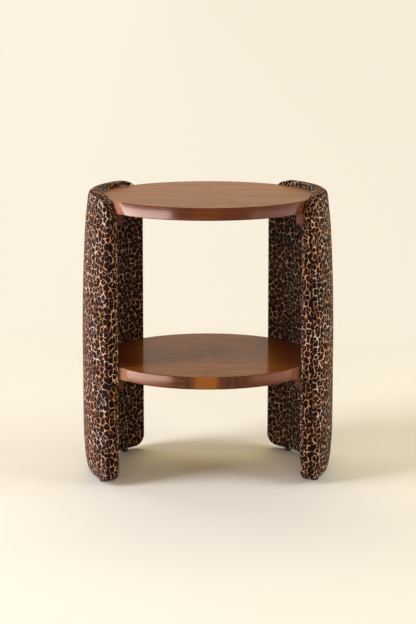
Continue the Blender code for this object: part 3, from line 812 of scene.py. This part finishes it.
def bored(piece, holes):
    """Sinks round holes, given as (mouth, direction, radius, depth), into a piece."""
    bm = bmesh.new()
    for mouth, direction, radius, depth in holes:
        bmesh.ops.create_cone(bm, cap_ends=True, segments=HOLE_STEPS, radius1=radius, radius2=radius,
                              depth=2 * depth, matrix=placed(mouth, direction))
    drill_mesh = bpy.data.meshes.new("drill")
    bm.to_mesh(drill_mesh)
    bm.free()
    drill = bpy.data.objects.new("drill", drill_mesh)
    bpy.context.scene.collection.objects.link(drill)
    cut = piece.modifiers.new("cut", "BOOLEAN")
    cut.solver = "EXACT"
    cut.object = drill
    apply_modifiers(piece).set_sharp_from_angle(angle=SHARP_ANGLE)
    bpy.data.objects.remove(drill)


def fastener_mesh(name, head_radius, head_height, radius, length, sides):
    """Shank up from 0 and a head with a recess for its key below 0."""
    edge = HEAD_EDGE
    recess, floor = head_radius * KEY_SHARE, -head_height * KEY_FLOOR_SHARE
    outline = [(0, length), (radius * TIP_SHARE, length), (radius, length - radius), (radius, 0)]
    outline += [(head_radius, 0)]
    outline += quarter_arc(head_radius - edge, edge - head_height, edge, 0, HEAD_EDGE_STEPS)
    outline += [(recess, -head_height, True), (recess, floor, True), (0, floor)]
    return turned_mesh(name, outline, FASTENER_STEPS, sides)


def sink_fastener(node, sizes, mouth, seat, direction):
    """Adds a bolt or screw, its head on the seat in a counterbore, and returns the hole for that head."""
    mesh = fastener_mesh(node, **sizes)
    mesh.transform(placed(seat, direction))
    add_piece(node + "_with_recess", mesh, [STEEL], node)
    return mouth, direction, sizes["head_radius"] + FIT_GAP, COUNTERBORE_DEPTH


def make_cleat(label, side, level):
    """An arc of solid wood under the shelf, with its sunk bolts and screws."""
    high = SHELF_HEIGHTS[level] - SHELF_THICKNESS - FIT_GAP
    low, middle = high - CLEAT_HEIGHT, high - CLEAT_HEIGHT / 2
    outer = PANEL_CLEARANCE - FIT_GAP
    inner = outer - CLEAT_DEPTH
    centre = (inner + outer) / 2
    u_range = (U_FRONT + CLEAT_END_INSET, U_BACK - CLEAT_END_INSET)
    stem = "_".join((label, level))
    name = stem + "_arc_cleat"
    mesh = arc_block_mesh(name, u_range, (inner, outer), (low, high), side, CLEAT_CELLS, CLEAT_EDGE)
    cleat = add_piece(name, mesh, [CLEAT_WOOD], stem + "_cleat")
    holes = []
    for end, u, inwards in zip(ENDS, u_range, (1, -1)):
        node = stem + "_" + end
        at = u + inwards * BOLT_INSET
        outwards = on_panel(at, 0, 0, side).normalized()
        mouth, seat = [on_panel(at, v, middle, side) for v in (inner, inner + COUNTERBORE_DEPTH)]
        holes.append(sink_fastener(node + "_bolt", BOLT, mouth, seat, outwards))
        at = u + inwards * SCREW_INSET
        mouth, seat = [on_panel(at, centre, z, side) for z in (low, low + COUNTERBORE_DEPTH)]
        holes.append(sink_fastener(node + "_screw", SCREW, mouth, seat, Vector((0, 0, 1))))
    bored(cleat, holes)


def make_foam(label, side):
    """The thin foam on the panel's inner side and the crowned foam on its outer side."""
    low, high = INNER_FOAM
    draw = INNER_RIM_RADIUS
    rings = [(draw + FOAM_EDGE, low), (draw, low + FOAM_EDGE)]
    rings += [(draw, high - FOAM_EDGE), (draw + FOAM_EDGE, high)]
    flat, faces, _ = closed_skin(rings, side)
    mesh = mesh_of(label + "_inner_foam", [on_panel(u, v, z, side) for u, v, z in flat], faces)
    piece = add_piece(label + "_inner_foam", mesh, [FOAM], label + "_inner_pad")
    rim, top = OUTER_RIM_RADIUS - FOAM_DEPTH, BODY_THICKNESS - FOAM_DEPTH
    rings = [(FOAM_DEPTH + FOAM_EDGE, OUTER_FOAM_START), (FOAM_DEPTH, OUTER_FOAM_START + FOAM_EDGE)]
    rings += [(FOAM_DEPTH + rim * (1 - cos(a)), top - rim * (1 - sin(a))) for a in RIM_TURNS]
    flat, faces, _ = closed_skin(rings, side)
    points = []
    for u, v, z in flat:
        share = (v - OUTER_FOAM_START) / (top - OUTER_FOAM_START)
        reach = OUTER_FOAM_START + share * (outer_face(u, z) - FOAM_DEPTH - OUTER_FOAM_START)
        points.append(on_panel(u, reach, z, side))
    piece = add_piece(label + "_outer_foam", mesh_of(label + "_outer_foam", points, faces), [FOAM],
                      label + "_outer_pad")


def make_dust_sheet(label, side):
    """A strip of thin black cloth that closes the panel's underside."""
    u_range = (U_FRONT + BOTTOM_CORNER_RADIUS, U_BACK - BOTTOM_CORNER_RADIUS)
    v_range = (PANEL_CLEARANCE + INNER_RIM_RADIUS, BODY_THICKNESS - OUTER_RIM_RADIUS - END_DRAW - BOTTOM_DRAW)
    high = PANEL_BOTTOM - FIT_GAP
    name = label + "_dust_sheet"
    z_range = (high - DUST_CLOTH_THICKNESS, high)
    mesh = arc_block_mesh(name, u_range, v_range, z_range, side, SHEET_CELLS, SHEET_EDGE)
    sheet = add_piece(name, mesh, [DUST_CLOTH], label + "_dust_cover")


def make_glide(label, end):
    """A nail-on glide: a rounded foot under its nail."""
    node = "_".join((label, end, "glide"))
    low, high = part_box(node)
    outline = [(0, high.z), (NAIL_RADIUS, high.z), (NAIL_RADIUS, GLIDE_HEIGHT)]
    outline += [(GLIDE_RADIUS - GLIDE_RIM_CUT, GLIDE_HEIGHT), (GLIDE_RADIUS, GLIDE_HEIGHT - GLIDE_RIM_CUT)]
    foot, edge = GLIDE_RADIUS - GLIDE_EDGE_RADIUS, GLIDE_EDGE_RADIUS
    outline += quarter_arc(foot, edge, edge, 0, GLIDE_EDGE_STEPS)
    outline.append((0, 0))
    mesh = turned_mesh(node + "_foot", outline, GLIDE_STEPS)
    mesh.transform(Matrix.Translation(((low.x + high.x) / 2, (low.y + high.y) / 2, 0)))
    add_piece(node + "_foot", mesh, [GLIDE_PLASTIC], node)


def dress_frame():
    """Finishes for the CAD nodes that stay, all inside the panels."""
    finishes = {"skin": PLYWOOD, "rib": PLYWOOD, "stile": PLYWOOD, "insert": STEEL}
    for name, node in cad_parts.items():
        finish = finishes.get(name.split("_")[-1])
        if finish:
            node.data.materials.clear()
            node.data.materials.append(finish)


# Studio
def mix_shaders(tree, factor, first, second):
    return put(tree, "MixShader", {0: factor, 1: first.outputs[0], 2: second.outputs[0]})


def mirrored_rays(tree, rays):
    return calc(tree, "MAXIMUM", rays["Is Glossy Ray"], rays["Is Transmission Ray"])


def background_colour(tree, across, reach):
    """The background from its left colour to its right one, over a reach to both sides of the middle."""
    return blend_colours(tree, fade(tree, across, -reach, reach), BACKGROUND_LEFT, BACKGROUND_RIGHT)


def make_floor():
    """A wide pale floor that keeps the shadow near the object, runs out into the background further off,
    and hides nothing from below."""
    half = FLOOR_HALF
    corners = [(-half, -half, 0), (half, -half, 0), (half, half, 0), (-half, half, 0)]
    floor = bpy.data.objects.new("studio_floor", mesh_of("studio_floor", corners, [(0, 1, 2, 3)]))
    bpy.context.scene.collection.objects.link(floor)
    material, tree, shader = new_material("cream_floor", Roughness=0.9, Specular_IOR_Level=0.0)
    shader["Base Color"].default_value = FLOOR_COLOUR
    rays = put(tree, "LightPath").outputs
    spot = object_place(tree)
    away = put(tree, "VectorMath", {0: spot}, operation="LENGTH").outputs["Value"]
    seen = calc(tree, "MULTIPLY", rays["Is Camera Ray"], fade(tree, away, *FLOOR_SEEN))
    mirrored = calc(tree, "MULTIPLY", mirrored_rays(tree, rays), fade(tree, away, *FLOOR_MIRRORED))
    seen = calc(tree, "MAXIMUM", seen, mirrored)
    across = put(tree, "SeparateXYZ", {0: spot}).outputs["X"]
    distant = put(tree, "Emission", {"Color": background_colour(tree, across, FLOOR_REACH)})
    lit = tree.nodes["Principled BSDF"]
    under = calc(tree, "MULTIPLY", put(tree, "NewGeometry").outputs["Backfacing"], rays["Is Camera Ray"])
    shown = mix_shaders(tree, under, mix_shaders(tree, seen, lit, distant), put(tree, "BsdfTransparent"))
    tree.links.new(shown.outputs[0], tree.nodes["Material Output"].inputs["Surface"])
    floor.data.materials.append(material)


def add_area_light(name, place, aim, size, power, colour):
    light = bpy.data.lights.new(name, "AREA")
    light.shape = "RECTANGLE"
    light.size, light.size_y = size
    light.energy = power
    light.color = colour
    lamp = bpy.data.objects.new(name, light)
    lamp.location = place
    lamp.rotation_euler = (Vector(aim) - Vector(place)).to_track_quat("-Z", "Y").to_euler()
    lamp.visible_camera = False
    bpy.context.scene.collection.objects.link(lamp)
    return lamp


def make_world():
    """Soft light from all round, with the background colour where it is seen or mirrored."""
    world = bpy.data.worlds.new("studio_air")
    world.use_nodes = True
    tree = world.node_tree
    air = tree.nodes["Background"]
    air.inputs["Color"].default_value = AIR_COLOUR
    air.inputs["Strength"].default_value = AIR_STRENGTH
    towards = put(tree, "SeparateXYZ", {0: put(tree, "TexCoord").outputs["Generated"]}).outputs["X"]
    colour = background_colour(tree, towards, AIR_REACH)
    backdrop = put(tree, "Background", {"Color": colour, "Strength": 1.0})
    rays = put(tree, "LightPath").outputs
    seen = calc(tree, "MAXIMUM", rays["Is Camera Ray"], mirrored_rays(tree, rays))
    shown = mix_shaders(tree, seen, air, backdrop)
    tree.links.new(shown.outputs[0], tree.nodes["World Output"].inputs["Surface"])
    bpy.context.scene.world = world


def make_camera():
    lens = bpy.data.cameras.new("camera")
    lens.sensor_width = CAMERA_SENSOR
    lens.lens = CAMERA_LENS
    camera = bpy.data.objects.new("camera", lens)
    reach, turn = CAMERA_DISTANCE, CAMERA_TURN
    camera.location = (-reach * sin(turn), -reach * cos(turn), CAMERA_HEIGHT)
    camera.rotation_euler = (pi / 2 - CAMERA_PITCH, 0, -turn)
    bpy.context.scene.collection.objects.link(camera)
    bpy.context.scene.camera = camera


def build():
    bpy.context.scene.view_settings.view_transform = "Standard"
    make_camera()
    for label, side in SIDES.items():
        make_padded_panel(label, side)
        make_foam(label, side)
        make_dust_sheet(label, side)
        for level in SHELF_HEIGHTS:
            make_cleat(label, side, level)
        for end in ENDS:
            make_glide(label, end)
    for level in SHELF_HEIGHTS:
        make_shelf(level)
    dress_frame()
    make_floor()
    make_world()
    for name, place, size, power, colour in STUDIO_LIGHTS:
        lamp = add_area_light(name, place, LAMP_AIM, size, power, colour)
        lamp.visible_glossy = False
    for name, place, size, power, colour in REFLECTOR_CARDS:
        aim = (0, place[1] + CARD_AIM_BACK, place[2])
        card = add_area_light(name, place, aim, size, power, colour)
        card.visible_diffuse = False


build()
